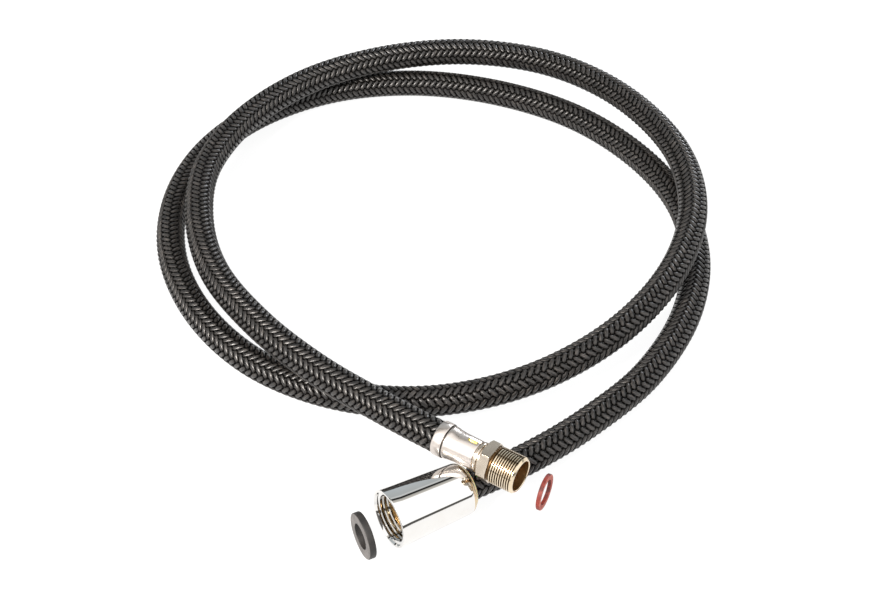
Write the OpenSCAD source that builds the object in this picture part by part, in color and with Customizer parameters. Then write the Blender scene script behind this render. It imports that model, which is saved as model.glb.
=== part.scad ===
// Braided supply hose for a pull-out tap, laid down in two loose turns.
// Lengths are in millimetres, +Z is up and the hose lies on Z = 0.
// Each end piece is drawn along its own +X axis, with X = 0 where the hose
// goes in, and is then turned and moved to its end of the hose.

/* [Hose] */
// Outside diameter of the braided hose
hose_d = 13.5; // [13:0.1:13.6]
// Thickness of the nylon braid
braid_t = 1; // [0.6:0.1:1.4]
// Bore of the rubber inner tube
liner_bore_d = 8; // [7:0.1:9]

/* [Hose end] */
// Bore of the barbed tails inside the hose
tail_bore_d = 5.4; // [4:0.1:6]
// Wall of the barbed tails, without the barbs
tail_wall = 0.8; // [0.6:0.1:1.2]
// Height of a barb over the tail
barb_h = 0.3; // [0.1:0.1:0.5]
// Diameter of the crimped part of a ferrule
crimp_d = 12; // [11.8:0.1:13]
// Wall of the ferrules
ferrule_wall = 0.6; // [0.4:0.1:0.8]
// Diameter of the rolled collar of a ferrule
collar_d = 14.3; // [14.2:0.1:14.5]
// Length of the rolled collar of a ferrule
collar_len = 4.4; // [3:0.1:6]
// Length of a ferrule
ferrule_len = 18; // [15:0.5:18]

/* [Male end] */
// Outside diameter of the fine male thread
male_d = 15; // [14:0.1:17]
// Pitch of the male thread
male_pitch = 1; // [0.75:0.25:1.5]
// Length of the threaded end
male_len = 11.6; // [9:0.2:14]
// Mouth bore of the male end
male_bore_d = 12.2; // [10:0.1:12.4]
// Depth of the mouth bore
male_bore_depth = 9; // [6:0.5:11]
// Size of the hexagon across its flats
hex_af = 15; // [14:0.5:16]
// Length of the hexagon
hex_len = 4.1; // [3:0.1:6]
// Length of the neck between ferrule and hexagon
neck_len = 3.3; // [2.5:0.1:5]

/* [Swivel nut] */
// Diameter of the nut at its mouth
nut_d = 24; // [23.6:0.1:26]
// Diameter of the nut at the foot of its rear shoulder
nut_rear_d = 21.5; // [21:0.1:23]
// Length of the nut
nut_len = 34.5; // [33:0.5:38]
// Hole in the rear of the nut, which clears the ferrule
nut_hole_d = 16.4; // [16:0.1:16.6]
// Crest diameter of the pipe thread inside the nut
nut_thread_d = 19; // [18.9:0.1:19.1]
// Root diameter of the pipe thread inside the nut
nut_root_d = 21; // [20.9:0.05:21.2]
// Pitch of the pipe thread inside the nut
nut_pitch = 1.814; // [1.8:0.001:1.9]
// Turns of thread inside the nut
nut_turns = 3; // [2:1:3]
// Distance from the mouth of the nut to the face of the tail
seat_depth = 9; // [8.5:0.1:10]
// Travel of the nut along the hose end
nut_travel = 3; // [2:0.5:4]
// Thickness of the flange of the tail
flange_t = 2.5; // [2:0.1:3]
// Length of the bush in the rear of the nut
bush_len = 6; // [4:0.5:8]

/* [Washers] */
// Outside diameter of the rubber washer
rubber_d = 18.8; // [18:0.1:18.8]
// Hole of the rubber washer
rubber_hole_d = 10.5; // [9:0.1:12]
// Thickness of the rubber washer
rubber_t = 2.8; // [2:0.1:3.5]
// Gap between the mouth of the nut and the loose rubber washer
rubber_gap = 9.5; // [9:0.5:14]
// Outside diameter of the fibre washer
fibre_d = 15; // [14:0.1:15]
// Hole of the fibre washer
fibre_hole_d = 10.5; // [9:0.1:11]
// Thickness of the fibre washer
fibre_t = 1.5; // [1:0.1:2]

/* [Hidden] */

round_fn = 96;
liner_gap = 0.05;
run_gap = 0.05;
hose_sides = 12;
rings_per_point = 2;

hose_r = hose_d / 2;
braid_in_r = hose_r - braid_t;
liner_r = braid_in_r - liner_gap;
liner_bore_r = liner_bore_d / 2;

tail_r = tail_bore_d / 2 + tail_wall;
crimp_r = crimp_d / 2;
collar_r = collar_d / 2;
crimp_bore_r = crimp_r - ferrule_wall;
crimp_braid_t = 0.7 * braid_t;
crimp_braid_in_r = crimp_bore_r - crimp_braid_t;
bell_x = 2;
crimp_start = collar_len + 4.2;
shank_len = 6.6;
shank_x = ferrule_len - shank_len;
crimp_end = shank_x - 0.3;
lip_r = tail_r + 0.5;

hex_x = ferrule_len + neck_len;
thread_x = hex_x + hex_len;
male_end_x = thread_x + male_len;

// Where the hose goes into each end piece, and the way each one points
nut_turn = 211;
nut_tilt = 2.4;
nut_hose_x = 1.5;
floor_gap = 0.1;
nut_rear_z = nut_d / 2 * cos(nut_tilt) - nut_len * sin(nut_tilt) + floor_gap;
nut_rear_at = [13.7, -131, nut_rear_z];
nut_dir = [cos(nut_tilt) * cos(nut_turn), cos(nut_tilt) * sin(nut_turn), sin(nut_tilt)];
male_over_nut = 7.65;
male_at = [3.8, -119.4, nut_rear_z + nut_hole_d / 2 + male_over_nut];
male_turn = -33;
male_dir = [cos(male_turn), sin(male_turn), 0];
nut_hose_at = nut_rear_at + nut_hose_x * nut_dir;

tail_face_x = nut_len - seat_depth;
flange_x = tail_face_x - flange_t;
stop_x = flange_x - nut_travel;
rubber_x = nut_len + rubber_gap + rubber_t / 2;
rubber_at = [nut_rear_at[0] + rubber_x * cos(nut_turn),
             nut_rear_at[1] + rubber_x * sin(nut_turn), rubber_d / 2];
rubber_turn = 206;
fibre_at = [45, -131, fibre_d / 2];
fibre_turn = -25;

// The middle of the hose from its male end to its nut
route = [
    [-21, -99, 23.5], [-47, -77, 22], [-73, -49, 21], [-95, -15, 20],
    [-106, 23, 19.5], [-106, 62, 19.5], [-91, 99, 20], [-62, 130, 21],
    [-24, 149, 21.5], [17, 156, 21], [56, 149, 20], [87, 128, 19.5],
    [109, 96, 20], [120, 60, 21], [119, 20, 21.5], [104, -20, 21],
    [77, -54, 19], [42, -76, 15], [3, -84, 10.5], [-36, -79, 8],
    [-73, -60, 7], [-101, -29, 7], [-118, 10, 7], [-121, 51, 7],
    [-110, 90, 7], [-86, 121, 7], [-50, 142, 7], [-9, 148, 7],
    [32, 140, 7], [70, 120, 7], [99, 89, 7], [117, 52, 7],
    [121, 11, 7], [112, -29, 7], [92, -65, 7], [66, -92, 7],
    [40, -114, 9]
];

function unit(v) = v / norm(v);

function spline(a, b, c, d, t) =
    (2 * b + (c - a) * t + (2 * a - 5 * b + 4 * c - d) * t * t
     + (3 * b - a - 3 * c + d) * t * t * t) / 2;

// The first and last points only steer the hose straight into its ferrules
lead_len = 30;
steer_points = concat([male_at + lead_len * male_dir, male_at], route,
                      [nut_hose_at, nut_hose_at + lead_len * nut_dir]);
free_line = [for (i = [1 : len(steer_points) - 3], k = [0 : rings_per_point - 1])
             spline(steer_points[i - 1], steer_points[i], steer_points[i + 1],
                    steer_points[i + 2], k / rings_per_point)];

// Stations of a crimped hose end, measured into the ferrule
crimp_steps = [crimp_end, crimp_start, bell_x];

hose_line = concat([for (x = crimp_steps) male_at + x * male_dir],
                   free_line,
                   [nut_hose_at],
                   [for (k = [2 : -1 : 0]) nut_hose_at + crimp_steps[k] * nut_dir]);

// Radii along the hose, given for the crimped ends and for the free hose
function hose_radii(crimped, open) =
    [for (i = [0 : len(hose_line) - 1])
     i < 2 || i > len(hose_line) - 3 ? crimped : open];

function ring(center, dir, r) =
    let (side = unit(cross(dir, [0, 0, 1])),
         up = cross(side, dir))
    [for (k = [0 : hose_sides - 1])
     let (a = 360 * k / hose_sides)
     center + r * (cos(a) * side + sin(a) * up)];

function heading(line, i) =
    unit(line[min(i + 1, len(line) - 1)] - line[max(i - 1, 0)]);

function skin_points(line, radii) =
    [for (i = [0 : len(line) - 1]) each ring(line[i], heading(line, i), radii[i])];

// Quads between neighbouring rings, wound outwards or inwards
function skin_faces(n, first, outward) =
    [for (i = [0 : n - 2], k = [0 : hose_sides - 1])
     let (next = (k + 1) % hose_sides,
          a = first + i * hose_sides + k,
          b = first + i * hose_sides + next,
          c = b + hose_sides,
          d = a + hose_sides)
     outward ? [a, b, c, d] : [a, d, c, b]];

module swept_pipe(line, outer_radii, inner_radii) {
    n = len(line);
    count = n * hose_sides;
    last = (n - 1) * hose_sides;
    ends = [for (k = [0 : hose_sides - 1])
            let (next = (k + 1) % hose_sides)
            each [[k, count + k, count + next, next],
                  [last + k, last + next, count + last + next, count + last + k]]];
    polyhedron(
        points = concat(skin_points(line, outer_radii), skin_points(line, inner_radii)),
        faces = concat(skin_faces(n, 0, true), skin_faces(n, count, false), ends)
    );
}

// A turned piece along +X, from a profile of [radius, distance] points
module turned(profile) {
    rotate([0, 90, 0]) rotate_extrude($fn = round_fn) polygon(profile);
}

module bore(r, from, to) {
    translate([from, 0, 0]) rotate([0, 90, 0]) cylinder(r = r, h = to - from, $fn = round_fn);
}

module on_male_end() {
    translate(male_at) rotate([0, 0, male_turn]) children();
}

module on_nut_end() {
    translate(nut_rear_at) rotate([0, -nut_tilt, nut_turn]) children();
}

// Crimped sleeve: rolled collar, groove, shoulder and a barrel with a turned-in lip
module ferrule() {
    roll = 0.7;
    groove = 0.6;
    shoulder_r = collar_r - 0.4;
    collar_bore_r = hose_r + 0.02;
    turned([
        [collar_bore_r, 0.3],
        [collar_r - roll + 0.3, 0],
        [collar_r, roll],
        [collar_r, collar_len - roll],
        [collar_r - groove, collar_len],
        [collar_r - groove, collar_len + 0.2],
        [shoulder_r, collar_len + 0.5],
        [shoulder_r - 0.1, collar_len + 1.7],
        [crimp_r + 0.25, crimp_start],
        [crimp_r, ferrule_len - 0.4],
        [crimp_r - 0.4, ferrule_len],
        [lip_r, ferrule_len],
        [lip_r, ferrule_len - ferrule_wall],
        [crimp_bore_r, ferrule_len - ferrule_wall],
        [crimp_bore_r, crimp_start],
        [collar_bore_r, bell_x]
    ]);
}

// Barbed tail that the hose is crimped on, with the shank that the ferrule grips
module barbed_tail() {
    barbs = 3;
    barb_pitch = 2.6;
    nose_x = 1;
    nose = 1;
    first_barb = nose_x + nose + 0.6;
    turned(concat(
        [[0, nose_x], [tail_r - 0.4, nose_x], [tail_r, nose_x + nose]],
        [for (i = [0 : barbs - 1])
         let (x = first_barb + i * barb_pitch)
         each [[tail_r, x], [tail_r + barb_h, x + 0.7 * barb_pitch], [tail_r, x + 0.75 * barb_pitch]]],
        [[tail_r, shank_x], [crimp_bore_r - run_gap, shank_x],
         [crimp_bore_r - run_gap, ferrule_len - ferrule_wall - run_gap],
         [lip_r - run_gap, ferrule_len - ferrule_wall - run_gap],
         [lip_r - run_gap, ferrule_len + 0.1], [0, ferrule_len + 0.1]]
    ));
}

module braid_sleeve() {
    color("#2b2a2b")
        swept_pipe(hose_line,
                   hose_radii(crimp_bore_r, hose_r),
                   hose_radii(crimp_braid_in_r, braid_in_r));
}

module inner_tube() {
    color("#1a1a1c")
        swept_pipe(hose_line,
                   hose_radii(crimp_braid_in_r - liner_gap, liner_r),
                   hose_radii(tail_r + barb_h, liner_bore_r));
}

// Slot in the barrel of a ferrule, which shows the brass shank under it
module sight_slot() {
    slot_len = 4.5;
    slot_w = 1.5;
    slot_turn = -6;
    rotate([slot_turn, 0, 0])
        translate([ferrule_len - slot_len - 0.9, 0, crimp_bore_r - 1])
            linear_extrude(2 * ferrule_wall + 2)
                union() {
                    translate([slot_w / 2, 0]) circle(d = slot_w, $fn = round_fn);
                    translate([slot_len - slot_w / 2, 0]) circle(d = slot_w, $fn = round_fn);
                    translate([slot_w / 2, -slot_w / 2]) square([slot_len - slot_w, slot_w]);
                }
}

module male_ferrule() {
    color("#c9c5bf")
        on_male_end()
            difference() {
                ferrule();
                sight_slot();
            }
}

module nut_ferrule() {
    color("#c9c5bf")
        on_nut_end() translate([nut_hose_x, 0, 0]) ferrule();
}

// Threaded end: a plain run-out, ridges with narrow flat crests and a chamfer
module male_thread() {
    crest = 0.3 * male_pitch;
    crest_r = male_d / 2;
    root_r = crest_r - 0.6 * male_pitch;
    chamfer = 0.6;
    run_out = 0.7;
    ridges = floor((male_len - run_out - chamfer) / male_pitch);
    turned(concat(
        [[0, 0], [root_r, 0]],
        [for (i = [0 : ridges - 1])
         let (x = run_out + i * male_pitch)
         each [[root_r, x], [crest_r, x + (male_pitch - crest) / 2],
               [crest_r, x + (male_pitch + crest) / 2], [root_r, x + male_pitch - 0.02]]],
        [[root_r, male_len - chamfer], [root_r - chamfer / 2, male_len], [0, male_len]]
    ));
}

module male_fitting() {
    hex_r = hex_af / sqrt(3);
    flat_up = 30;
    lead = 0.7;
    color("#b9a98f")
        on_male_end()
            difference() {
                union() {
                    barbed_tail();
                    turned([[0, ferrule_len], [crimp_r - 0.7, ferrule_len],
                            [crimp_r - 0.7, ferrule_len + 0.5],
                            [crimp_r + 0.15, ferrule_len + 0.7],
                            [crimp_r + 0.15, ferrule_len + 1.7],
                            [crimp_r - 0.6, ferrule_len + 1.9],
                            [crimp_r - 0.6, ferrule_len + 2.3],
                            [crimp_r + 0.3, hex_x - 0.6],
                            [crimp_r + 0.3, hex_x + 0.1], [0, hex_x + 0.1]]);
                    intersection() {
                        translate([hex_x, 0, 0]) rotate([flat_up, 0, 0]) rotate([0, 90, 0])
                            cylinder(r = hex_r, h = hex_len, $fn = 6);
                        turned([[0, hex_x], [hex_r - lead, hex_x], [hex_r, hex_x + lead],
                                [hex_r, thread_x - lead / 2],
                                [hex_r - lead, thread_x], [0, thread_x]]);
                    }
                    translate([thread_x, 0, 0]) male_thread();
                }
                bore(tail_bore_d / 2, 0, male_end_x + 1);
                bore(male_bore_d / 2, male_end_x - male_bore_depth, male_end_x + 1);
            }
}

module swivel_tail() {
    flange_r = nut_thread_d / 2 - 0.4;
    stem_r = crimp_bore_r - 0.4;
    tail_end = nut_hose_x + ferrule_len;
    color("#c2a36b")
        on_nut_end()
            difference() {
                union() {
                    translate([nut_hose_x, 0, 0]) barbed_tail();
                    turned([[0, tail_end], [stem_r, tail_end], [stem_r, flange_x],
                            [flange_r, flange_x], [flange_r, tail_face_x - 0.3],
                            [flange_r - 0.3, tail_face_x], [0, tail_face_x]]);
                }
                bore(tail_bore_d / 2, 0, tail_face_x + 1);
            }
}

// Bush that keeps the nut central on the hose, with a rim behind the nut
module nut_bush() {
    rim_t = 0.8;
    rim_r = nut_hole_d / 2 + 0.5;
    bush_r = nut_hole_d / 2 - run_gap;
    bush_bore_r = collar_r + 0.3;
    color("#e6dcc4")
        on_nut_end()
            turned([[bush_bore_r + 0.2, -rim_t - run_gap], [rim_r - 0.2, -rim_t - run_gap],
                    [rim_r, -rim_t - run_gap + 0.2], [rim_r, -run_gap],
                    [bush_r, -run_gap], [bush_r, bush_len],
                    [bush_bore_r, bush_len], [bush_bore_r, -rim_t - run_gap + 0.2]]);
}

module cone_nut() {
    nut_r = nut_d / 2;
    rear_r = nut_rear_d / 2;
    hole_r = nut_hole_d / 2;
    shoulder = 3.2;
    rear_face_r = hole_r + 0.6;
    arc_steps = 8;
    mouth = 0.4;
    lead = 0.8;
    crest_r = nut_thread_d / 2;
    root_r = nut_root_d / 2;
    crest = 0.3 * nut_pitch;
    thread_end = nut_len - lead;
    relief = 0.4;
    color("#d9dadc")
        on_nut_end()
            difference() {
                turned(concat(
                    [[0, 0], [rear_face_r, 0]],
                    [for (i = [1 : arc_steps])
                     let (a = 90 * i / arc_steps)
                     [rear_face_r + (rear_r - rear_face_r) * sin(a), shoulder * (1 - cos(a))]],
                    [[nut_r, nut_len - mouth], [nut_r - mouth, nut_len], [0, nut_len]]));
                bore(hole_r, -1, nut_len);
                turned(concat(
                    [[0, stop_x], [root_r, stop_x],
                     [root_r, thread_end - nut_turns * nut_pitch - relief]],
                    [for (i = [nut_turns - 1 : -1 : 0])
                     let (x = thread_end - (i + 1) * nut_pitch)
                     each [[crest_r, x], [root_r, x + (nut_pitch - crest) / 2],
                           [crest_r, x + nut_pitch - crest]]],
                    [[crest_r, thread_end], [root_r, nut_len], [root_r, nut_len + 1],
                     [0, nut_len + 1]]));
            }
}

// Flat washer along +X, centred on X = 0
module washer(d, hole_d, t, edge) {
    turned([[hole_d / 2, -t / 2], [d / 2 - edge, -t / 2], [d / 2, -t / 2 + edge],
            [d / 2, t / 2 - edge], [d / 2 - edge, t / 2], [hole_d / 2, t / 2]]);
}

module rubber_washer() {
    color("#3a3a3a")
        translate(rubber_at) rotate([0, 0, rubber_turn])
            washer(rubber_d, rubber_hole_d, rubber_t, 0.2);
}

module fibre_washer() {
    color("#9c3b2c")
        translate(fibre_at) rotate([0, 0, fibre_turn])
            washer(fibre_d, fibre_hole_d, fibre_t, 0.1);
}

braid_sleeve();
inner_tube();
male_ferrule();
male_fitting();
fibre_washer();
swivel_tail();
nut_ferrule();
nut_bush();
cone_nut();
rubber_washer();
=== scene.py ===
import math
import bmesh
import bpy
from mathutils import Matrix, Vector


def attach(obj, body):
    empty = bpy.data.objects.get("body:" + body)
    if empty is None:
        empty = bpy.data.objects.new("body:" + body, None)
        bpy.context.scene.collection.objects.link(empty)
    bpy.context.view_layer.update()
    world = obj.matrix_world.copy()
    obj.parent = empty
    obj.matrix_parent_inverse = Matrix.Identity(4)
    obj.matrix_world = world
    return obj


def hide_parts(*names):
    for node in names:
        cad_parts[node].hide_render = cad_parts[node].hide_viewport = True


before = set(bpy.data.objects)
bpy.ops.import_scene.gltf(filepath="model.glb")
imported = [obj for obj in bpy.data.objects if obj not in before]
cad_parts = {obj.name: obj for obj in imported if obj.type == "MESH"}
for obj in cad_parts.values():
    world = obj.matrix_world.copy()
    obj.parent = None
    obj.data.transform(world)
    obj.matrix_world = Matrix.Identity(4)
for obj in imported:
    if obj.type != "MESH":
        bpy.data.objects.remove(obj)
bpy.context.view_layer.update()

mm = 0.001
scene = bpy.context.scene
print("frame loaded:", len(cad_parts), "nodes")


def hexColor(code):
    parts = [int(code[i:i + 2], 16) / 255 for i in (1, 3, 5)]
    return tuple(p / 12.92 if p <= 0.04045 else ((p + 0.055) / 1.055) ** 2.4 for p in parts) + (1.0,)


def addNode(material, kind, inputs=None, **settings):
    tree = material.node_tree
    new = tree.nodes.new(kind)
    for name, value in settings.items():
        setattr(new, name, value)
    for name, value in (inputs or {}).items():
        if isinstance(value, bpy.types.NodeSocket):
            tree.links.new(value, new.inputs[name])
        else:
            new.inputs[name].default_value = value
    return new


def newMaterial(name):
    material = bpy.data.materials.new(name)
    material.use_nodes = True
    material.node_tree.nodes.clear()
    return material


def finishMaterial(material, shader):
    addNode(material, "ShaderNodeOutputMaterial", {"Surface": shader.outputs[0]})
    return material


def setRamp(ramp, stops):
    while len(ramp.color_ramp.elements) < len(stops):
        ramp.color_ramp.elements.new(0.5)
    for element, (place, code) in zip(ramp.color_ramp.elements, stops):
        element.position = place
        element.color = hexColor(code)


def placed(at, turn, tilt=0):
    # Millimetres along a piece's own +X, tilted up, turned about Z and carried to its place in metres
    turned = Matrix.Rotation(math.radians(turn), 4, "Z") @ Matrix.Rotation(math.radians(-tilt), 4, "Y")
    return Matrix.Translation(Vector(at) * mm) @ turned @ Matrix.Scale(mm, 4)


def meshPiece(name, shape, place, body, materials, smoothAngle=35):
    shape.transform(place)
    mesh = bpy.data.meshes.new(name)
    shape.to_mesh(mesh)
    shape.free()
    mesh.shade_smooth()
    mesh.set_sharp_from_angle(angle=math.radians(smoothAngle))
    piece = bpy.data.objects.new(name, mesh)
    scene.collection.objects.link(piece)
    for material in materials:
        mesh.materials.append(material)
    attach(piece, body)
    return piece


def turnedShape(profile, steps=96, edge=0.0):
    # profile is [x, radius] points, closed and spun about X, with its hard rings rounded by edge
    shape = bmesh.new()
    points = [shape.verts.new((x, 0, r)) for x, r in profile]
    edges = [shape.edges.new((points[i], points[(i + 1) % len(points)])) for i in range(len(points))]
    bmesh.ops.spin(shape, geom=points + edges, cent=(0, 0, 0), axis=(1, 0, 0),
                   angle=2 * math.pi, steps=steps, use_merge=True)
    bmesh.ops.remove_doubles(shape, verts=shape.verts, dist=0.0005)
    bmesh.ops.recalc_face_normals(shape, faces=shape.faces)
    if edge:
        hard = [e for e in shape.edges
                if len(e.link_faces) == 2 and e.calc_face_angle() > math.radians(25)]
        bmesh.ops.bevel(shape, geom=hard, offset=edge, offset_type="OFFSET", affect="EDGES",
                        segments=2, profile=0.5, material=-1, clamp_overlap=True)
    return shape


def applied(piece):
    # Bakes a piece's modifiers into its mesh
    graph = bpy.context.evaluated_depsgraph_get()
    mesh = bpy.data.meshes.new_from_object(piece.evaluated_get(graph), depsgraph=graph)
    old = piece.data
    piece.modifiers.clear()
    piece.data = mesh
    bpy.data.meshes.remove(old)
    return piece


def scratchObject(name, shape):
    mesh = bpy.data.meshes.new(name)
    shape.to_mesh(mesh)
    shape.free()
    piece = bpy.data.objects.new(name, mesh)
    scene.collection.objects.link(piece)
    return piece


def cutShape(shape, tool, operation="DIFFERENCE"):
    # Boolean of two bmeshes, which are used up
    blank = scratchObject("blank", shape)
    cutter = scratchObject("cutter", tool)
    cut = blank.modifiers.new("cut", "BOOLEAN")
    cut.operation = operation
    cut.solver = "EXACT"
    cut.object = cutter
    applied(blank)
    result = bmesh.new()
    result.from_mesh(blank.data)
    for scrap in (blank, cutter):
        mesh = scrap.data
        bpy.data.objects.remove(scrap)
        bpy.data.meshes.remove(mesh)
    return result


def helixTool(rootRadius, crestRadius, pitch, width, start, turns, steps=96):
    # The path of a threading tool: a groove section swept along a right-handed helix
    tool = bmesh.new()
    side = 1 if crestRadius > rootRadius else -1
    out = crestRadius + side * 0.12 * pitch
    section = [tool.verts.new((start + dx, 0, r)) for dx, r in
               ((-0.1 * pitch, rootRadius), (0.1 * pitch, rootRadius), (width / 2, out), (-width / 2, out))]
    face = tool.faces.new(section)
    count = int(turns * steps)
    bmesh.ops.spin(tool, geom=[face] + list(face.edges) + section, cent=(0, 0, 0), axis=(-1, 0, 0),
                   dvec=(pitch / steps, 0, 0), angle=2 * math.pi * turns, steps=count)
    bmesh.ops.recalc_face_normals(tool, faces=tool.faces)
    return tool


view = {"at": (3, -551, 494.65), "lookDown": 42.5, "lens": 66.9, "sensor": 36}

camera = bpy.data.objects.new("camera", bpy.data.cameras.new("camera"))
camera.data.lens = view["lens"]
camera.data.sensor_width = view["sensor"]
camera.data.clip_end = 20
camera.location = Vector(view["at"]) * mm
camera.rotation_euler = (math.radians(90 - view["lookDown"]), 0, 0)
scene.collection.objects.link(camera)
scene.camera = camera


# Millimetres and degrees from here on, the same as in the CAD
ends = {
    "maleAt": Vector((3.8, -119.4, 26.495)), "maleTurn": -33,
    "nutAt": Vector((13.7, -131, 10.645)), "nutTurn": 211, "nutTilt": 2.4,
    "nutHoseX": 1.5,      # where the hose enters the nut's ferrule
    "collarDepth": 1.7,   # how far the braid reaches into a ferrule
    "lead": 30,           # straightens the hose at its ends
}


def pointing(turn, tilt=0):
    tilted = Matrix.Rotation(math.radians(-tilt), 3, "Y") @ Vector((1, 0, 0))
    return Matrix.Rotation(math.radians(turn), 3, "Z") @ tilted


maleDir = pointing(ends["maleTurn"])
nutDir = pointing(ends["nutTurn"], ends["nutTilt"])
nutHoseAt = ends["nutAt"] + ends["nutHoseX"] * nutDir

route = [
    (-21, -99, 23.5), (-47, -77, 22), (-73, -49, 21), (-95, -15, 20),
    (-106, 23, 19.5), (-106, 62, 19.5), (-91, 99, 20), (-62, 130, 21),
    (-24, 149, 21.5), (17, 156, 21), (56, 149, 20), (87, 128, 19.5),
    (109, 96, 20), (120, 60, 21), (119, 20, 21.5), (104, -20, 21),
    (77, -54, 19), (42, -76, 15), (3, -84, 10.5), (-36, -79, 8),
    (-73, -60, 7), (-101, -29, 7), (-118, 10, 7), (-121, 51, 7),
    (-110, 90, 7), (-86, 121, 7), (-50, 142, 7), (-9, 148, 7),
    (32, 140, 7), (70, 120, 7), (99, 89, 7), (117, 52, 7),
    (121, 11, 7), (112, -29, 7), (92, -65, 7), (66, -92, 7),
    (40, -114, 9),
]


def splinePoint(a, b, c, d, t):
    return (2 * b + (c - a) * t + (2 * a - 5 * b + 4 * c - d) * t * t
            + (3 * b - a - 3 * c + d) * t * t * t) / 2


def hoseLine(perPoint=12):
    free = [ends["maleAt"] + ends["lead"] * maleDir, ends["maleAt"]] + [Vector(p) for p in route]
    free += [nutHoseAt, nutHoseAt + ends["lead"] * nutDir]
    line = [ends["maleAt"] + ends["collarDepth"] * maleDir]
    for i in range(1, len(free) - 2):
        line += [splinePoint(*free[i - 1:i + 3], k / perPoint) for k in range(perPoint)]
    return line + [nutHoseAt, nutHoseAt + ends["collarDepth"] * nutDir]


hosePoints = hoseLine()
hoseLength = sum((b - a).length for a, b in zip(hosePoints, hosePoints[1:]))
print("hose line:", round(hoseLength), "mm")


def hoseCurve(name):
    curve = bpy.data.curves.new(name, "CURVE")
    curve.dimensions = "3D"
    spline = curve.splines.new("POLY")
    spline.points.add(len(hosePoints) - 1)
    for point, at in zip(spline.points, hosePoints):
        point.co = (*(at * mm), 1)
    piece = bpy.data.objects.new(name, curve)
    scene.collection.objects.link(piece)
    return piece


def nylonYarn():
    # Black nylon multifilament, plaited flat, of parallel filaments: thin warm grey streaks on the crown
    # of each float are painted highlight, and painted shade keeps the gaps black
    material = newMaterial("black_nylon_multifilament")
    where = addNode(material, "ShaderNodeTexCoord")
    # about 12 filaments over a yarn of 2 mm, drawn coarse enough to show
    streakAt = addNode(material, "ShaderNodeMapping",
                       {"Vector": where.outputs["UV"], "Scale": (0.8, 6.0, 1.0)})
    streaks = addNode(material, "ShaderNodeTexNoise",
                      {"Vector": streakAt.outputs[0], "Scale": 1.6, "Detail": 3.0, "Roughness": 0.65})
    # yarns differ a little from each other every 4 to 8 mm
    patches = addNode(material, "ShaderNodeTexNoise",
                      {"Vector": where.outputs["Object"], "Scale": 170.0, "Detail": 2.0})
    # the bright streaks are painted highlight, filament glints, laid over filament tone that differs at
    # random
    tone = addNode(material, "ShaderNodeValToRGB", {"Fac": streaks.outputs["Fac"]})
    setRamp(tone, [(0.32, "#090808"), (0.52, "#1b1918"), (0.72, "#625c57")])
    patchTone = addNode(material, "ShaderNodeMapRange",
                        {"Value": patches.outputs["Fac"], "From Min": 0.3, "From Max": 0.7,
                         "To Min": 0.6, "To Max": 1.2})
    # painted highlight on top of a float, painted shade where a yarn dives under its neighbours
    crown = addNode(material, "ShaderNodeAttribute", attribute_name="crown")
    paintedCrownLight = addNode(material, "ShaderNodeMapRange",
                        {"Value": crown.outputs["Fac"], "From Min": -0.2, "From Max": 0.75,
                         "To Min": 0.05, "To Max": 1.15})
    both = addNode(material, "ShaderNodeMath",
                   {0: patchTone.outputs[0], 1: paintedCrownLight.outputs[0]}, operation="MULTIPLY")
    color = addNode(material, "ShaderNodeMix", {0: 1.0, 6: tone.outputs[0], 7: both.outputs[0]},
                    data_type="RGBA", blend_type="MULTIPLY")
    # tint of the reflections: black in the gaps as painted shade, white on the crown as painted highlight
    paintedGapShadeTint = addNode(material, "ShaderNodeValToRGB", {"Fac": paintedCrownLight.outputs[0]})
    setRamp(paintedGapShadeTint, [(0.05, "#101010"), (0.6, "#d0ccc8"), (1.0, "#ffffff")])
    rough = addNode(material, "ShaderNodeMapRange",
                    {"Value": paintedCrownLight.outputs[0], "From Min": 0.05, "From Max": 1.0,
                     "To Min": 0.8, "To Max": 0.3})
    bump = addNode(material, "ShaderNodeBump",
                   {"Height": streaks.outputs["Fac"], "Strength": 0.6, "Distance": 0.0001})
    shader = addNode(material, "ShaderNodeBsdfPrincipled",
                     {"Base Color": color.outputs[2], "Roughness": rough.outputs[0],
                      "Normal": bump.outputs[0], "IOR": 1.53, "Specular Tint": paintedGapShadeTint.outputs[0]})
    return finishMaterial(material, shader)


def linerRubber():
    # Extruded EPDM rubber: dull black with a faint lengthwise drag
    material = newMaterial("extruded_epdm_rubber")
    where = addNode(material, "ShaderNodeTexCoord")
    grain = addNode(material, "ShaderNodeTexNoise",
                    {"Vector": where.outputs["Object"], "Scale": 900.0, "Detail": 3.0})
    tone = addNode(material, "ShaderNodeValToRGB", {"Fac": grain.outputs["Fac"]})
    setRamp(tone, [(0.35, "#060606"), (0.7, "#121212")])
    bump = addNode(material, "ShaderNodeBump",
                   {"Height": grain.outputs["Fac"], "Strength": 0.3, "Distance": 0.00005})
    shader = addNode(material, "ShaderNodeBsdfPrincipled",
                     {"Base Color": tone.outputs[0], "Normal": bump.outputs[0],
                      "Roughness": 0.75, "IOR": 1.52})
    return finishMaterial(material, shader)


yarnMaterial = nylonYarn()
rubberLiner = linerRubber()


braid = {
    "ways": 10,            # yarns wound each way
    "spacing": 3.12,       # between neighbouring yarns of one way, along the hose
    "yarnWidth": 1.95,
    "middleRadius": 6.42,  # of the yarns' middles
    "wave": 0.2,           # how far a yarn rises and dips as it passes over two and under two
    "edgeDrop": 0.55,      # a yarn's edges lie lower than its middle
    "ridge": 0.05,         # height of the filament ridges
    "along": 6,            # steps along one yarn float
    "across": 6,           # steps across a yarn, for three ridges
    "pieces": 5,
    "coreRadius": 5.95,
}


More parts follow.
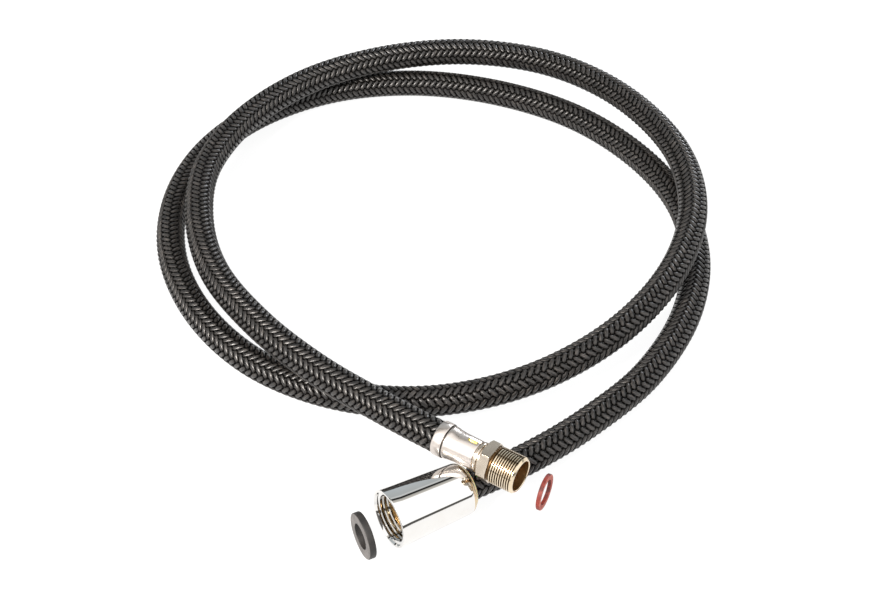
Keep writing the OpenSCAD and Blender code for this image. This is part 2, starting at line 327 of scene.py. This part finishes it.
def yarnTile():
    # One spacing of braid along X. A yarn is up for two crossings and down for two, and
    # q counts crossings round the hose
    tile = bmesh.new()
    tile.loops.layers.uv.new("yarn")
    crown = tile.verts.layers.float.new("crown")
    ways, spacing = braid["ways"], braid["spacing"]
    slope = math.atan2(2 * math.pi * braid["middleRadius"] / ways, spacing)
    for way in (1, -1):
        for yarn in (0, 1):
            strip = bmesh.ops.create_grid(tile, x_segments=braid["along"],
                                          y_segments=braid["across"], size=0.5,
                                          calc_uvs=True)["verts"]
            for vert in strip:
                step, side = vert.co.x + 0.5, 2 * vert.co.y
                if way > 0:
                    x, q = step * spacing, 2 * yarn + 2 * step - 0.5
                else:
                    x, q = (step - 0.5) * spacing, 2 * yarn - 2 * step + 1.5
                rise = way * math.cos(math.pi * (q - 0.5) / 2)
                rise *= 1.5 - 0.5 * rise * rise
                # crown is the yarn's height over its neighbours; the nylon turns it into painted highlight
                # and painted shade
                vert[crown] = rise - 0.75 * side * side
                radius = braid["middleRadius"] + braid["wave"] * rise
                radius += braid["ridge"] * math.cos(3 * math.pi * side) - braid["edgeDrop"] * abs(side) ** 3
                offset = side * braid["yarnWidth"] / 2
                x -= way * math.sin(slope) * offset
                angle = math.pi * q / ways + math.cos(slope) * offset / braid["middleRadius"]
                vert.co = (x, radius * math.sin(angle), radius * math.cos(angle))
    sector = 4 * math.pi / ways
    bmesh.ops.spin(tile, geom=tile.verts[:] + tile.edges[:] + tile.faces[:], cent=(0, 0, 0),
                   axis=(1, 0, 0), angle=2 * math.pi - sector, steps=ways // 2 - 1,
                   use_duplicate=True)
    for face in tile.faces:
        middle = face.calc_center_median()
        if face.normal.dot(Vector((0, middle.y, middle.z))) < 0:
            face.normal_flip()
    return tile


core = hoseCurve("hose_core")
core.data.bevel_depth = braid["coreRadius"] * mm
core.data.bevel_resolution = 4
core.data.use_fill_caps = True
core.data.materials.append(rubberLiner)

guide = hoseCurve("guide")
tileCount = int(hoseLength / braid["spacing"])
start = (hoseLength - tileCount * braid["spacing"]) / 2
for number in range(braid["pieces"]):
    first = tileCount * number // braid["pieces"]
    last = tileCount * (number + 1) // braid["pieces"]
    tile = yarnTile()
    tile.transform(Matrix.Scale(mm, 4) @ Matrix.Translation((start + first * braid["spacing"], 0, 0)))
    piece = scratchObject("braid_" + "abcdefgh"[number], tile)
    repeat = piece.modifiers.new("repeat", "ARRAY")
    repeat.count = last - first
    repeat.use_relative_offset = False
    repeat.use_constant_offset = True
    repeat.constant_offset_displace = (braid["spacing"] * mm, 0, 0)
    repeat.use_merge_vertices = True
    repeat.merge_threshold = 0.00001
    repeat.offset_u = 1.0
    follow = piece.modifiers.new("follow", "CURVE")
    follow.object = guide
    applied(piece)
    piece.data.shade_smooth()
    piece.data.materials.append(yarnMaterial)
    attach(piece, "hose")
bpy.data.objects.remove(guide)

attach(core, "hose")
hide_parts("braid_sleeve")


def localCoordinates(material, at, turn, tilt):
    # Metres along a piece's own axis
    where = addNode(material, "ShaderNodeTexCoord")
    return addNode(material, "ShaderNodeMapping",
                   {"Vector": where.outputs["Object"], "Location": Vector(at) * mm,
                    "Rotation": (0, math.radians(-tilt), math.radians(turn))}, vector_type="TEXTURE")


def turnedMetal(name, end, dark, light, roughLow, roughHigh, marks, strength=0.1):
    # Lathe-turned metal: fine rings from the tool, which stretch highlights along the axis,
    # and faint smudges that change how sharp the reflections are
    material = newMaterial(name)
    own = localCoordinates(material, *end)
    rings = addNode(material, "ShaderNodeMapping",
                    {"Vector": own.outputs[0], "Scale": (marks, 12.0, 12.0)})
    grain = addNode(material, "ShaderNodeTexNoise",
                    {"Vector": rings.outputs[0], "Scale": 1.0, "Detail": 4.0, "Roughness": 0.6})
    smudge = addNode(material, "ShaderNodeTexNoise",
                     {"Vector": own.outputs[0], "Scale": 160.0, "Detail": 3.0})
    tone = addNode(material, "ShaderNodeValToRGB", {"Fac": smudge.outputs["Fac"]})
    setRamp(tone, [(0.3, dark), (0.7, light)])
    rough = addNode(material, "ShaderNodeMapRange",
                    {"Value": smudge.outputs["Fac"], "From Min": 0.3, "From Max": 0.7,
                     "To Min": roughLow, "To Max": roughHigh})
    bump = addNode(material, "ShaderNodeBump",
                   {"Height": grain.outputs["Fac"], "Strength": strength, "Distance": 0.00002})
    shader = addNode(material, "ShaderNodeBsdfPrincipled",
                     {"Base Color": tone.outputs[0], "Roughness": rough.outputs[0],
                      "Normal": bump.outputs[0], "Metallic": 1.0})
    return finishMaterial(material, shader)


maleEnd = (ends["maleAt"], ends["maleTurn"], 0)
nutEnd = (ends["nutAt"], ends["nutTurn"], ends["nutTilt"])
# Stainless steel sleeve, drawn, trimmed and crimped: satin and slightly warm
maleSteel = turnedMetal("satin_stainless_male", maleEnd, "#cfc6bf", "#ddd4cd", 0.26, 0.3, 4000.0, 0.03)
nutSteel = turnedMetal("satin_stainless_nut", nutEnd, "#cfc6bf", "#ddd4cd", 0.26, 0.3, 4000.0, 0.03)
# Painted shade in the groove behind the rolled collar: dark steel standing for its shadow
grooveShadeSteel = turnedMetal("stainless_groove_painted_shade", maleEnd, "#3a3431", "#55504b", 0.4, 0.5, 4000.0, 0.03)
# Nickel plate on machined brass: pale and warm, brighter on the hexagon's flats
nickel = turnedMetal("satin_nickel_plate", maleEnd, "#c3b6a6", "#d5cabb", 0.2, 0.26, 3000.0)
# The thread shows more of the brass under its thin plate
threadNickel = turnedMetal("thin_nickel_on_brass", maleEnd, "#d8c6a8", "#eadcc4", 0.14, 0.2, 6000.0, 0.03)
# Painted shade in the roots of the thread: dark brown between the crests
threadRootShade = turnedMetal("thread_root_painted_shade", maleEnd, "#4a3824", "#6e5639", 0.35, 0.45, 6000.0)
# Bare brass, oiled and a little brown, inside the bores
boreBrass = turnedMetal("bare_brass_male", maleEnd, "#a58458", "#c6a470", 0.3, 0.4, 2500.0)
# Fresh yellow brass of the shank, seen through the sight slot
shankBrass = turnedMetal("yellow_brass_shank", maleEnd, "#c9b65c", "#ddd083", 0.3, 0.4, 2500.0)
tailBrass = turnedMetal("bare_brass_nut", nutEnd, "#c4ad88", "#d8c5a4", 0.14, 0.24, 2500.0, 0.04)
# Chrome on polished brass: a mirror with the faintest polishing rings
chrome = turnedMetal("polished_chrome_plate", nutEnd, "#e3e1de", "#e6e5e3", 0.02, 0.04, 2000.0, 0.02)


def nylonBush():
    # Natural nylon, injection moulded: cream, slightly translucent, softly glossy
    material = newMaterial("natural_moulded_nylon")
    where = addNode(material, "ShaderNodeTexCoord")
    cloud = addNode(material, "ShaderNodeTexNoise",
                    {"Vector": where.outputs["Object"], "Scale": 400.0, "Detail": 2.0})
    tone = addNode(material, "ShaderNodeValToRGB", {"Fac": cloud.outputs["Fac"]})
    setRamp(tone, [(0.3, "#d2c08c"), (0.7, "#eadfb8")])
    shader = addNode(material, "ShaderNodeBsdfPrincipled",
                     {"Base Color": tone.outputs[0], "Roughness": 0.38, "IOR": 1.53,
                      "Subsurface Weight": 0.2, "Subsurface Scale": 0.001})
    return finishMaterial(material, shader)


def washerRubber(name, dark, light):
    # Nitrile rubber: dull, with fine grain and a little bloom
    material = newMaterial(name)
    where = addNode(material, "ShaderNodeTexCoord")
    grain = addNode(material, "ShaderNodeTexNoise",
                    {"Vector": where.outputs["Object"], "Scale": 1600.0, "Detail": 4.0})
    bloom = addNode(material, "ShaderNodeTexNoise",
                    {"Vector": where.outputs["Object"], "Scale": 260.0, "Detail": 2.0})
    tone = addNode(material, "ShaderNodeValToRGB", {"Fac": bloom.outputs["Fac"]})
    setRamp(tone, [(0.3, dark), (0.7, light)])
    bump = addNode(material, "ShaderNodeBump",
                   {"Height": grain.outputs["Fac"], "Strength": 0.35, "Distance": 0.00004})
    shader = addNode(material, "ShaderNodeBsdfPrincipled",
                     {"Base Color": tone.outputs[0], "Normal": bump.outputs[0],
                      "Roughness": 0.55, "IOR": 1.52})
    return finishMaterial(material, shader)


def redFibre(name, dark, middle, light):
    # Vulcanised fibre, punched from sheet: dry, with short paper fibres
    material = newMaterial(name)
    where = addNode(material, "ShaderNodeTexCoord")
    fibres = addNode(material, "ShaderNodeTexNoise",
                     {"Vector": where.outputs["Object"], "Scale": 1300.0, "Detail": 5.0,
                      "Roughness": 0.7, "Distortion": 0.6})
    patches = addNode(material, "ShaderNodeTexNoise",
                      {"Vector": where.outputs["Object"], "Scale": 300.0})
    mixed = addNode(material, "ShaderNodeMath",
                    {0: fibres.outputs["Fac"], 1: patches.outputs["Fac"]}, operation="MULTIPLY")
    tone = addNode(material, "ShaderNodeValToRGB", {"Fac": mixed.outputs[0]})
    setRamp(tone, [(0.14, dark), (0.26, middle), (0.4, light)])
    bump = addNode(material, "ShaderNodeBump",
                   {"Height": fibres.outputs["Fac"], "Strength": 0.4, "Distance": 0.00004})
    shader = addNode(material, "ShaderNodeBsdfPrincipled",
                     {"Base Color": tone.outputs[0], "Normal": bump.outputs[0],
                      "Roughness": 0.6, "IOR": 1.5})
    return finishMaterial(material, shader)


# Crimped steel sleeves, one at each end
ferrule = {
    "collarRadius": 7.15, "collarLength": 4.4, "groove": 0.6, "bore": 6.77,
    "bellStart": 2.0, "crimpStart": 8.6, "crimpRadius": 6.0, "wall": 0.6, "length": 18.0,
    "lipRadius": 4.0, "edge": 0.05,
}


def ferruleShape(startX):
    f = ferrule
    collar, crimp = f["collarRadius"], f["crimpRadius"]
    profile = [
        (0.3, f["bore"]), (0.0, collar - 0.35), (0.12, collar - 0.12), (0.5, collar),
        (f["collarLength"] - 0.55, collar), (f["collarLength"] - 0.15, collar - 0.14),
        (f["collarLength"], collar - f["groove"]), (f["collarLength"] + 0.35, collar - f["groove"]),
        (f["collarLength"] + 0.45, collar - 0.4), (f["collarLength"] + 0.75, collar - 0.36),
        (f["collarLength"] + 1.7, collar - 0.48), (f["collarLength"] + 2.6, collar - 0.72),
        (f["crimpStart"], crimp + 0.27), (f["crimpStart"] + 1.2, crimp + 0.16),
        (f["length"] - 0.5, crimp), (f["length"] - 0.12, crimp - 0.14), (f["length"], crimp - 0.45),
        (f["length"], f["lipRadius"]), (f["length"] - f["wall"], f["lipRadius"]),
        (f["length"] - f["wall"], crimp - f["wall"]), (f["crimpStart"], crimp - f["wall"]),
        (f["bellStart"], f["bore"]),
    ]
    return turnedShape([(x + startX, r) for x, r in profile], edge=f["edge"])


def slotTool():
    # Round-ended sight slot in the top of the barrel
    slot = {"long": 4.5, "wide": 1.5, "fromTip": 0.9, "turn": -6}
    tool = bmesh.new()
    bmesh.ops.create_cube(tool, size=1)
    bmesh.ops.scale(tool, vec=(slot["long"], slot["wide"], 2.4), verts=tool.verts)
    corners = [e for e in tool.edges if abs(e.verts[0].co.z - e.verts[1].co.z) > 1]
    bmesh.ops.bevel(tool, geom=corners, offset=slot["wide"] * 0.49, offset_type="OFFSET", affect="EDGES",
                    segments=6, profile=0.5, material=-1)
    middle = ferrule["length"] - slot["fromTip"] - slot["long"] / 2
    bmesh.ops.translate(tool, vec=(middle, 0, ferrule["crimpRadius"]), verts=tool.verts)
    turn = Matrix.Rotation(math.radians(slot["turn"]), 3, "X")
    bmesh.ops.rotate(tool, cent=(0, 0, 0), matrix=turn, verts=tool.verts)
    return tool


def grooveMarked(shape, startX):
    # The groove behind the collar takes the second material, dark steel painted as its shade
    for face in shape.faces:
        middle = face.calc_center_median()
        radius = math.hypot(middle.y, middle.z)
        along = middle.x - startX - ferrule["collarLength"]
        low = ferrule["bore"] - 0.24 < radius < ferrule["collarRadius"] - 0.2
        face.material_index = 1 if low and -0.14 < along < 0.42 else 0
    return shape


malePlace = placed(*maleEnd)
nutPlace = placed(*nutEnd)
maleSleeve = grooveMarked(cutShape(ferruleShape(0), slotTool()), 0)
maleFerrule = meshPiece("male_ferrule_look", maleSleeve, malePlace, "hose",
                        [maleSteel, grooveShadeSteel])
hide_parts("male_ferrule")
nutSleeve = grooveMarked(ferruleShape(ends["nutHoseX"]), ends["nutHoseX"])
nutFerrule = meshPiece("nut_ferrule_look", nutSleeve, nutPlace, "hose",
                       [nutSteel, grooveShadeSteel])
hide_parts("nut_ferrule")
print("ferrules made")


# Tail, shank, neck, hexagon and thread are turned from one bar
male = {
    "neckStart": 18.0, "hexStart": 21.3, "threadStart": 25.4, "end": 37.0,
    "hexAcross": 15.0, "hexLead": 0.7, "threadRadius": 7.5, "rootRadius": 6.9, "pitch": 1.0,
    "grooveWidth": 0.66, "grooveTurns": 10.3,
    "tailBore": 2.7, "mouthBore": 6.1, "mouthDepth": 9.0,
    "tailRadius": 3.5, "barb": 0.3, "barbs": 3, "barbStart": 2.6, "barbPitch": 2.6,
    "shankRadius": 5.35, "shankStart": 11.4, "shankEnd": 17.35, "lipRadius": 3.95,
}


def barbedProfile(shift=0.0):
    # Nose, sharp barbs that slope back to the hose end, and the shank the ferrule grips
    tail = male["tailRadius"]
    points = [(1.0, tail - 0.4), (2.0, tail)]
    for number in range(male["barbs"]):
        x = male["barbStart"] + number * male["barbPitch"]
        points += [(x, tail), (x + 1.82, tail + male["barb"]), (x + 1.95, tail)]
    points += [(male["shankStart"], tail), (male["shankStart"], male["shankRadius"]),
               (male["shankEnd"], male["shankRadius"]), (male["shankEnd"], male["lipRadius"])]
    return [(x + shift, r) for x, r in points]


def maleBlank():
    # Thinner than the hexagon inside it, so that the two join cleanly
    crimp, neckX, under = ferrule["crimpRadius"], male["neckStart"], 5.2
    hexX, threadX, end = male["hexStart"], male["threadStart"], male["end"]
    root, crest = male["rootRadius"], male["threadRadius"]
    mouth, bottom = male["mouthBore"], end - male["mouthDepth"]
    profile = [(1.0, male["tailBore"])] + barbedProfile() + [
        (neckX, male["lipRadius"]), (neckX, crimp - 0.7), (neckX + 0.5, crimp - 0.7),
        (neckX + 0.65, crimp + 0.1), (neckX + 0.8, crimp + 0.15), (neckX + 1.55, crimp + 0.15),
        (neckX + 1.7, crimp + 0.1), (neckX + 1.85, crimp - 0.6), (neckX + 2.2, crimp - 0.6),
        (hexX - 0.7, crimp + 0.3), (hexX + 0.5, crimp + 0.3), (hexX + 0.6, under),
        (threadX - 0.6, under), (threadX - 0.5, root), (threadX + 0.75, root),
        (threadX + 1.2, crest), (end - 0.75, crest), (end - 0.1, root - 0.1), (end, root - 0.25),
        (end, mouth + 0.25), (end - 0.2, mouth), (bottom, mouth), (bottom, male["tailBore"]),
    ]
    return turnedShape(profile, steps=128)


def hexCollar():
    # A flat faces up, and the corners are chamfered at both ends of the hexagon
    radius = male["hexAcross"] / math.sqrt(3)
    start, end, lead = male["hexStart"], male["threadStart"], male["hexLead"]
    collar = bmesh.new()
    bmesh.ops.create_cone(collar, segments=6, radius1=radius, radius2=radius,
                          depth=end - start, cap_ends=True)
    bmesh.ops.rotate(collar, cent=(0, 0, 0), matrix=Matrix.Rotation(math.radians(90), 3, "Y"),
                     verts=collar.verts)
    hard = [e for e in collar.edges if abs(e.verts[0].co.x - e.verts[1].co.x) > 1]
    bmesh.ops.bevel(collar, geom=hard, offset=0.12, offset_type="OFFSET", affect="EDGES",
                    segments=2, profile=0.5, material=-1)
    bmesh.ops.translate(collar, vec=((end + start) / 2, 0, 0), verts=collar.verts)
    limit = turnedShape([(start - 0.1, 5.0), (start - 0.1, radius - lead - 0.1),
                         (start + lead, radius), (end - lead / 2, radius),
                         (end + 0.1, radius - lead - 0.1), (end + 0.1, 5.0)])
    return cutShape(collar, limit, "INTERSECT")


threadTool = helixTool(male["rootRadius"], male["threadRadius"], male["pitch"],
                       male["grooveWidth"], male["threadStart"] + 0.35, male["grooveTurns"])
maleShape = cutShape(cutShape(maleBlank(), threadTool), hexCollar(), "UNION")
for face in maleShape.faces:
    middle = face.calc_center_median()
    radius = math.hypot(middle.y, middle.z)
    mouth = radius < male["mouthBore"] + 0.02 and middle.x > male["end"] - male["mouthDepth"] - 0.1
    groove = radius < male["threadRadius"] - 0.22 and middle.x < male["end"] - 0.9
    if male["shankStart"] - 0.1 < middle.x < male["neckStart"] + 0.2:
        face.material_index = 3
    elif mouth or radius < male["tailBore"] + 0.02:
        face.material_index = 2
    elif middle.x > male["threadStart"] + 0.3:
        # the roots of the thread take the painted shade
        face.material_index = 4 if groove else 1
    else:
        face.material_index = 0
maleFitting = meshPiece("male_fitting_look", maleShape, malePlace, "hose",
                        [nickel, threadNickel, boreBrass, shankBrass, threadRootShade], smoothAngle=28)
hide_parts("male_fitting")
print("male end made:", len(maleFitting.data.polygons), "faces")


# Swivel nut, with the face and flange of the tail that it pulls on
nut = {
    "mouthRadius": 12.0, "rearRadius": 10.75, "length": 34.5, "holeRadius": 8.2, "shoulder": 3.2,
    "stop": 20.0, "crest": 9.5, "root": 10.5, "pitch": 1.814,
    "grooveWidth": 1.3, "grooveTurns": 5.6,
    "chromeDepth": 6.2,   # how far the plating reaches into the mouth
    "faceX": 25.5, "flange": 2.5, "flangeRadius": 9.1, "stemRadius": 5.0,
}
bush = {"bore": 7.47, "outside": 8.15, "rimRadius": 8.68, "rimStart": -0.85, "length": 6.0}


def nutShape():
    # Round shoulder, a cone that widens to the mouth, a chamfered lip and the bores behind it
    hole, rear, mouth = nut["holeRadius"], nut["rearRadius"], nut["mouthRadius"]
    shoulder, length, stop = nut["shoulder"], nut["length"], nut["stop"]
    crest, root = nut["crest"], nut["root"]
    rearFace = hole + 0.6
    profile = [(0.25, hole), (0.0, hole + 0.2), (0.0, rearFace)]
    shoulderSteps, coneSteps = 14, 8
    for i in range(1, shoulderSteps + 1):
        a = math.pi / 2 * i / shoulderSteps
        profile.append((shoulder * (1 - math.cos(a)), rearFace + (rear - rearFace) * math.sin(a)))
    for i in range(1, coneSteps + 1):
        t = i / coneSteps
        profile.append((shoulder + (length - 0.5 - shoulder) * t, rear + (mouth - rear) * t))
    profile += [
        (length - 0.32, mouth - 0.02), (length - 0.14, mouth - 0.12), (length - 0.03, mouth - 0.28),
        (length, mouth - 0.45), (length, root + 0.62), (length - 0.05, root + 0.52),
        (length - 0.9, root + 0.1), (length - 0.95, crest + 0.25), (length - 1.2, crest),
        (stop + 7.6, crest), (stop + 7.2, root), (stop, root), (stop, hole),
    ]
    blank = turnedShape(profile, steps=160)
    tool = helixTool(root, crest, nut["pitch"], nut["grooveWidth"],
                     stop + 6.6, nut["grooveTurns"])
    return cutShape(blank, tool)


def tailShape():
    # The same barbed tail as at the male end, with a flange whose face has a shallow groove
    hoseX, face, flange, stem = ends["nutHoseX"], nut["faceX"], nut["flangeRadius"], nut["stemRadius"]
    tailEnd, back = ferrule["length"] + hoseX, face - nut["flange"]
    profile = [(1.0 + hoseX, male["tailBore"])] + barbedProfile(hoseX) + [
        (tailEnd, male["lipRadius"]), (tailEnd, stem), (back, stem), (back, flange),
        (face - 0.3, flange), (face, flange - 0.3), (face, 5.6), (face - 0.2, 5.3),
        (face - 0.2, 3.6), (face, 3.3), (face, 3.0), (face - 0.3, male["tailBore"]),
    ]
    return turnedShape(profile, edge=0.06)


def bushShape():
    # A sleeve with a rim that stands out behind the nut
    bore, outside, rim = bush["bore"], bush["outside"], bush["rimRadius"]
    start, length = bush["rimStart"], bush["length"]
    profile = [(start + 0.25, bore), (start, bore + 0.18), (start, rim - 0.23), (start + 0.2, rim),
               (-0.05, rim), (-0.05, outside), (length - 0.2, outside), (length, outside - 0.2),
               (length, bore)]
    return turnedShape(profile, edge=0.05)


platedNut = nutShape()
for face in platedNut.faces:
    middle = face.calc_center_median()
    inside = math.hypot(middle.y, middle.z) < nut["root"] + 0.05
    bare = inside and 0.4 < middle.x < nut["length"] - nut["chromeDepth"]
    face.material_index = 1 if bare else 0
coneNut = meshPiece("cone_nut_look", platedNut, nutPlace, "nut",
                    [chrome, tailBrass], smoothAngle=30)
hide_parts("cone_nut")
swivelTail = meshPiece("swivel_tail_look", tailShape(), nutPlace, "hose", [tailBrass])
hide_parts("swivel_tail")
nutBush = meshPiece("nut_bush_look", bushShape(), nutPlace, "bush", [nylonBush()])
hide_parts("nut_bush")
print("swivel end made:", len(coneNut.data.polygons), "faces in the nut")


# Loose washers: radii, thickness, softened edge, place and turn
rubberSize = {"outer": 9.4, "hole": 5.25, "thick": 2.8, "edge": 0.25,
              "at": (-25.215, -154.383, 9.4), "turn": 206}
fibreSize = {"outer": 7.5, "hole": 5.25, "thick": 1.5, "edge": 0.14,
             "at": (45, -131, 7.5), "turn": -25}


def washerShape(size):
    # The flat faces take the first material, and the punched rim and hole the second
    half, outer, hole, edge = size["thick"] / 2, size["outer"], size["hole"], size["edge"]
    profile = [(-half, hole + edge / 2), (-half, outer - edge), (-half + edge, outer),
               (half - edge, outer), (half, outer - edge), (half, hole + edge / 2),
               (half - edge / 2, hole), (-half + edge / 2, hole)]
    shape = turnedShape(profile, edge=edge * 0.3)
    shape.normal_update()
    for face in shape.faces:
        face.material_index = 0 if abs(face.normal.x) > 0.8 else 1
    return shape


# Face painted grey as a painted sheen of light on the black rubber; rim and hole black
rubberFaceSheen = washerRubber("nitrile_rubber_face_painted_sheen", "#514e4c", "#65615f")
rubberRim = washerRubber("cut_nitrile_rubber", "#0f0e0e", "#26221f")
rubberWasher = meshPiece("rubber_washer_look", washerShape(rubberSize),
                         placed(rubberSize["at"], rubberSize["turn"]), "rubber_washer",
                         [rubberFaceSheen, rubberRim])
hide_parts("rubber_washer")
# Brick red face, and a darker, browner edge painted as shade on the rim
fibreFace = redFibre("vulcanised_red_fibre", "#87362a", "#a84a3a", "#c4705c")
fibreEdgeShade = redFibre("red_fibre_edge_painted_shade", "#4a1510", "#6e2219", "#8a3427")
fibreWasher = meshPiece("fibre_washer_look", washerShape(fibreSize),
                        placed(fibreSize["at"], fibreSize["turn"]), "fibre_washer",
                        [fibreFace, fibreEdgeShade])
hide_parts("fibre_washer")
print("washers made")

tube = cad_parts["inner_tube"]  # the CAD tube is right as it is, and is hidden in the hose
tube.data.materials.clear()
tube.data.materials.append(rubberLiner)


# Floor half width and sink in metres, the share of it that is lit from under, and strengths
stage = {"floorHalf": 2.5, "sink": 0.0002, "floorGlow": 0.85, "glowStrength": 1.08,
         "roomStrength": 1.4, "aim": (0, -0.03, 0)}


def whiteSweep():
    # White seamless paper: matt, bright and even
    material = newMaterial("white_paper")
    paper = addNode(material, "ShaderNodeBsdfDiffuse", {"Color": hexColor("#f7f7f7")})
    glow = addNode(material, "ShaderNodeEmission",
                   {"Color": hexColor("#ffffff"), "Strength": stage["glowStrength"]})
    mix = addNode(material, "ShaderNodeMixShader",
                  {"Fac": stage["floorGlow"], 1: paper.outputs[0], 2: glow.outputs[0]})
    return finishMaterial(material, mix)


floorShape = bmesh.new()
bmesh.ops.create_grid(floorShape, x_segments=1, y_segments=1, size=stage["floorHalf"])
floor = scratchObject("floor", floorShape)
floor.location.z = -stage["sink"]
floor.data.materials.append(whiteSweep())

lights = {
    # name: place in metres, size, watts, tint
    "key": ((-0.45, -0.6, 0.7), (0.22, 0.22), 16, "#fff8f0"),
    "back": ((0.5, 0.8, 0.35), (0.25, 0.1), 3, "#f4f8ff"),
}
for name, (at, size, watts, tint) in lights.items():
    lamp = bpy.data.lights.new(name, "AREA")
    lamp.shape = "RECTANGLE"
    lamp.size, lamp.size_y = size
    lamp.energy = watts
    lamp.color = hexColor(tint)[:3]
    lampObject = bpy.data.objects.new(name, lamp)
    lampObject.location = at
    aimed = Vector(stage["aim"]) - Vector(at)
    lampObject.rotation_euler = aimed.to_track_quat("-Z", "Y").to_euler()
    scene.collection.objects.link(lampObject)

# The studio: a dark gap behind the sweep, a pale back wall, a rail, and a white tent
# overhead that comes down in front nearly to the floor
room = bpy.data.worlds.new("room")
room.use_nodes = True
room.node_tree.nodes.clear()
facing = addNode(room, "ShaderNodeTexCoord")
back = addNode(room, "ShaderNodeVectorMath",
               {0: facing.outputs["Generated"], 1: (-0.2, 0.98, 0)}, operation="DOT_PRODUCT")
parts = addNode(room, "ShaderNodeSeparateXYZ", {0: facing.outputs["Generated"]})
overhead = addNode(room, "ShaderNodeMath",
                   {0: parts.outputs["Z"], 1: back.outputs["Value"]}, operation="ARCTAN2")
share = addNode(room, "ShaderNodeMath", {0: overhead.outputs[0], 1: math.pi}, operation="DIVIDE")
tent = addNode(room, "ShaderNodeValToRGB", {"Fac": share.outputs[0]})
setRamp(tent, [(0.0, "#050505"), (0.05, "#0a0a0a"), (0.07, "#a9b0b4"), (0.27, "#a2a6a8"),
               (0.305, "#c4c6c6"), (0.32, "#242424"), (0.35, "#242424"), (0.36, "#a09e99"),
               (0.4, "#b8b5af"), (0.415, "#ffffff"), (0.93, "#ffffff"), (0.945, "#3a3a39"),
               (0.985, "#5a5956")])
light = addNode(room, "ShaderNodeBackground",
                {"Color": tent.outputs[0], "Strength": stage["roomStrength"]})
addNode(room, "ShaderNodeOutputWorld", {"Surface": light.outputs[0]})
scene.world = room
scene.view_settings.view_transform = "Standard"
print("stage set")
